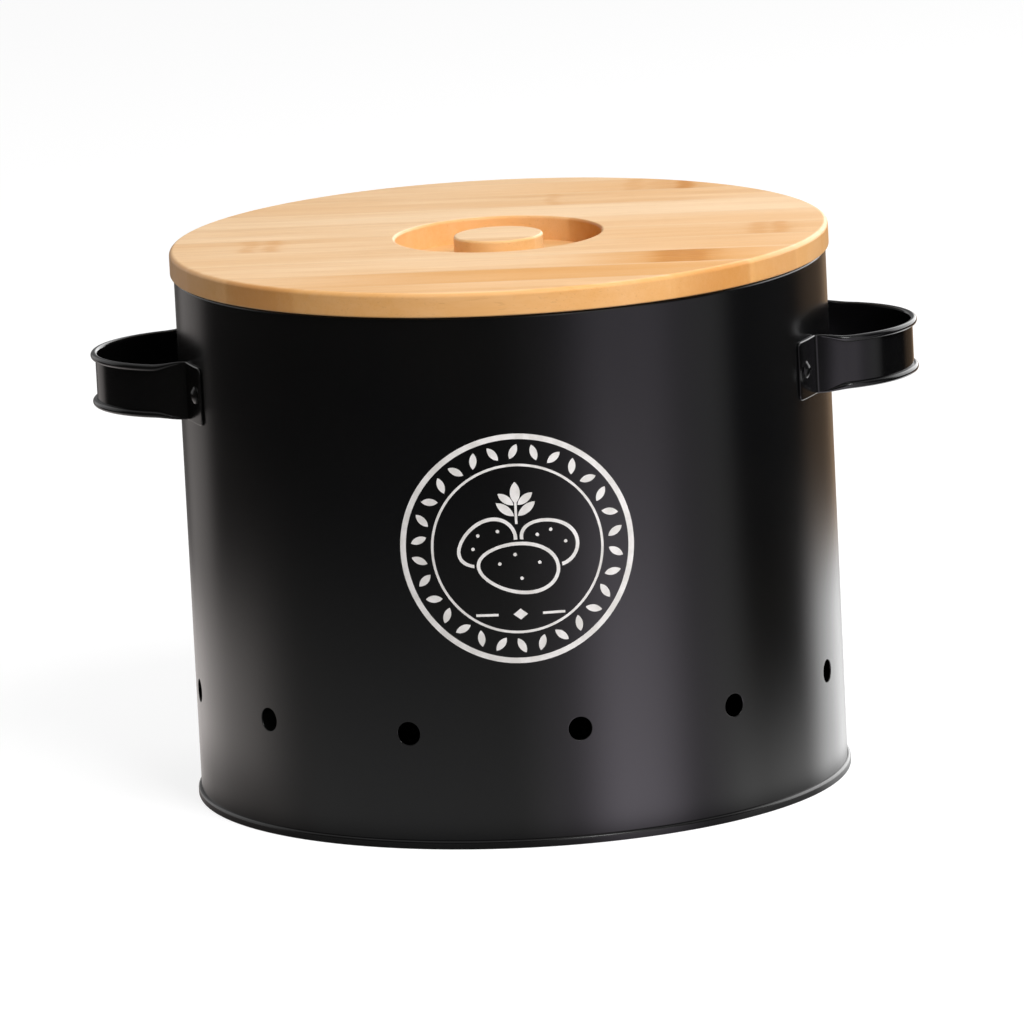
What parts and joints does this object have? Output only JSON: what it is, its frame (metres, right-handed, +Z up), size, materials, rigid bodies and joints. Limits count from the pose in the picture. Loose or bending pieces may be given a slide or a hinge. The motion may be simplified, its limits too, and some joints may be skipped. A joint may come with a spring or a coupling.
{
  "type": "potato storage bin",
  "caption": "Round black tin storage bin with vent holes near the foot, riveted strap handles at the sides, and a loose bamboo lid with a recessed knob.",
  "frame": {"origin": "on the table, at the centre of the round base", "axes": "+Z up, the printed front faces -Y, and the two handles lie on the X axis"},
  "size_m": [0.305, 0.2432, 0.2041],
  "materials": {
    "tin": "satin black powder coat",
    "handle_tin": "glossier black powder coat",
    "rivet": "glossier black powder coat",
    "ink": "white screen-printed ink",
    "bamboo": "sanded bamboo board, lightly oiled",
    "bamboo_plug": "sanded bamboo board, lightly oiled",
    "screw": "zinc-plated steel"
  },
  "bodies": {
    "bin": {"body_wall": "tin", "base_plate": "tin", "left_handle": "handle_tin", "right_handle": "handle_tin", "left_handle_rivets": "rivet", "right_handle_rivets": "rivet", "front_print": "ink"},
    "lid": {"lid_board": "bamboo", "lid_plug": "bamboo_plug", "lid_knob": "bamboo", "knob_screw": "screw"}
  },
  "joints": [
    {"name": "lid_lift", "type": "slide", "parent": "bin", "child": "lid", "axis": [0, 0, 1], "range_m": [0, 0.12]}
  ]
}
